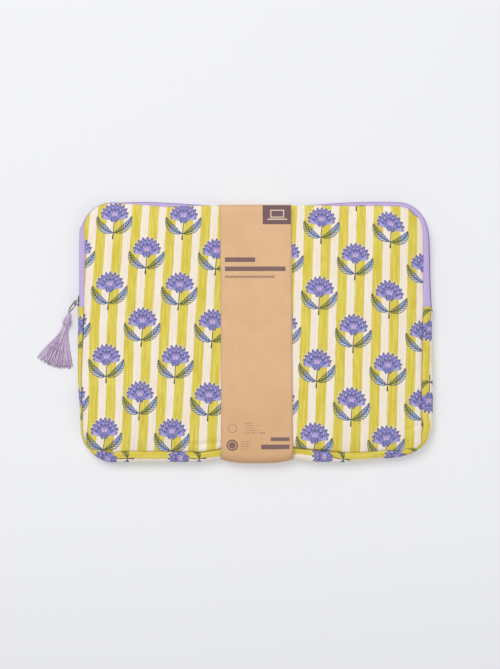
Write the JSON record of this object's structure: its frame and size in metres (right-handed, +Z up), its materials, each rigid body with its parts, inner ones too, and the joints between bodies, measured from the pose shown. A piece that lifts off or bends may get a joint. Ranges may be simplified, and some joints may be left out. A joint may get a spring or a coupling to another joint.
{
  "type": "laptop sleeve",
  "caption": "Padded fabric laptop sleeve with a gusset, a zip round three sides with a ring and tassel pull, and a card band round its middle.",
  "frame": {"origin": "under the middle of the sleeve, on the back face of the card band that it lies on", "axes": "+Z is up through the thickness, +X along the width to the right, and +Y from the bottom edge to the zipped top edge"},
  "size_m": [0.4014, 0.2616, 0.0196],
  "materials": {
    "printed_cotton": "matt printed cotton canvas",
    "foam": "soft padding",
    "lining": "plain woven lining",
    "zip_tape": "woven polyester tape",
    "zip_coil": "nylon coil",
    "metal": "nickel plate",
    "tassel_thread": "spun thread",
    "kraft_card": "uncoated kraft card"
  },
  "bodies": {
    "sleeve": {"back_panel": "printed_cotton", "back_padding": "foam", "back_lining": "lining", "front_panel": "printed_cotton", "front_padding": "foam", "front_lining": "lining", "gusset_panel": "printed_cotton", "gusset_padding": "foam", "gusset_lining": "lining", "zip_tape_back": "zip_tape", "zip_tape_front": "zip_tape", "zip_coil_back": "zip_coil", "zip_coil_front": "zip_coil"},
    "front_corner": {"front_panel_corner": "printed_cotton", "front_padding_corner": "foam", "front_lining_corner": "lining", "zip_tape_front_corner": "zip_tape", "zip_coil_front_corner": "zip_coil"},
    "zip_slider": {"slider_body": "metal"},
    "pull_ring": {"pull_ring": "metal"},
    "tassel": {"tassel_loop": "tassel_thread", "tassel_head": "tassel_thread", "tassel_wrap": "tassel_thread", "tassel_skirt": "tassel_thread"},
    "kraft_band": {"kraft_band": "kraft_card"}
  },
  "joints": [
    {"name": "slider_slide", "type": "slide", "parent": "sleeve", "child": "zip_slider", "axis": [0, 1, 0], "range_m": [0, 0.05], "deforming": ["zip_coil_front", "zip_coil_back", "zip_coil_front_corner"]},
    {"name": "corner_peel", "type": "hinge", "parent": "sleeve", "child": "front_corner", "pos_m": [-0.111, 0.0855, 0.0188], "axis": [0.8404, 0.542, 0], "range_deg": [0, 70]},
    {"name": "pull_swing", "type": "hinge", "parent": "zip_slider", "child": "pull_ring", "pos_m": [-0.1819, 0.0315, 0.0098], "axis": [0, 0, -1], "range_deg": [0, 75]},
    {"name": "tassel_swing", "type": "hinge", "parent": "pull_ring", "child": "tassel", "pos_m": [-0.18949, 0.02221, 0.0068], "axis": [0, 0, -1], "range_deg": [0, 50]},
    {"name": "band_slide", "type": "slide", "parent": "sleeve", "child": "kraft_band", "axis": [1, 0, 0], "range_m": [0, 0.23]}
  ]
}
